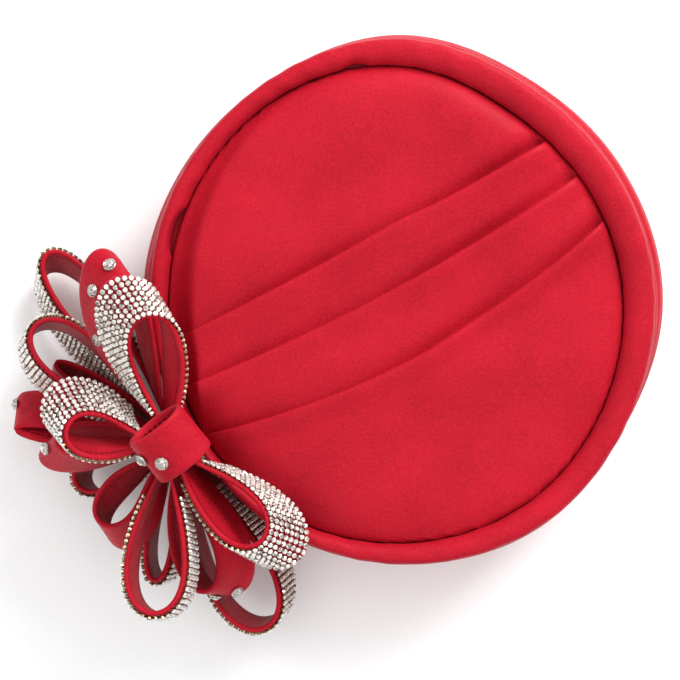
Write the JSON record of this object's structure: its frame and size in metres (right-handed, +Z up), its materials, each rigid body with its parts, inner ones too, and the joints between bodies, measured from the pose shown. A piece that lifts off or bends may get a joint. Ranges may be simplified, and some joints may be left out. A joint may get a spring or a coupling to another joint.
{
  "type": "turban",
  "caption": "Red satin turban with a padded roll round a pleated top, and a large bow of ribbon loops with crystal banding and studs at one side.",
  "frame": {"origin": "on the floor, under the middle of the outline of hat and bow", "axes": "+Z up through the top of the hat, -Y towards the wearer's face, -X towards the bow"},
  "size_m": [0.3282, 0.3028, 0.1242],
  "materials": {
    "red_satin": "duchess satin polyester",
    "crystal_banding": "crystal glass in silver-plated brass cups",
    "silver_and_crystal": "crystal glass in a silver-plated rim"
  },
  "bodies": {
    "root": {"bow_knot": "red_satin", "bow_stem": "red_satin", "crystals_a": "crystal_banding", "crystals_c": "crystal_banding", "crystals_d": "crystal_banding", "crystals_e": "crystal_banding", "crystals_h": "crystal_banding", "crystals_j": "crystal_banding", "crystals_k": "crystal_banding", "crystals_m": "crystal_banding", "crystals_n": "crystal_banding", "loop_a": "red_satin", "loop_b": "red_satin", "loop_c": "red_satin", "loop_d": "red_satin", "loop_e": "red_satin", "loop_f": "red_satin", "loop_g": "red_satin", "loop_h": "red_satin", "loop_i": "red_satin", "loop_j": "red_satin", "loop_k": "red_satin", "loop_l": "red_satin", "loop_m": "red_satin", "loop_n": "red_satin", "loop_p": "red_satin", "rolled_brim": "red_satin", "side_band": "red_satin", "stud_01": "silver_and_crystal", "stud_02": "silver_and_crystal", "stud_03": "silver_and_crystal", "stud_04": "silver_and_crystal", "stud_05": "silver_and_crystal", "stud_06": "silver_and_crystal", "stud_07": "silver_and_crystal", "stud_08": "silver_and_crystal", "stud_09": "silver_and_crystal", "stud_10": "silver_and_crystal", "stud_11": "silver_and_crystal", "tip": "red_satin", "wrap_lower": "red_satin", "wrap_upper": "red_satin"}
  },
  "joints": []
}
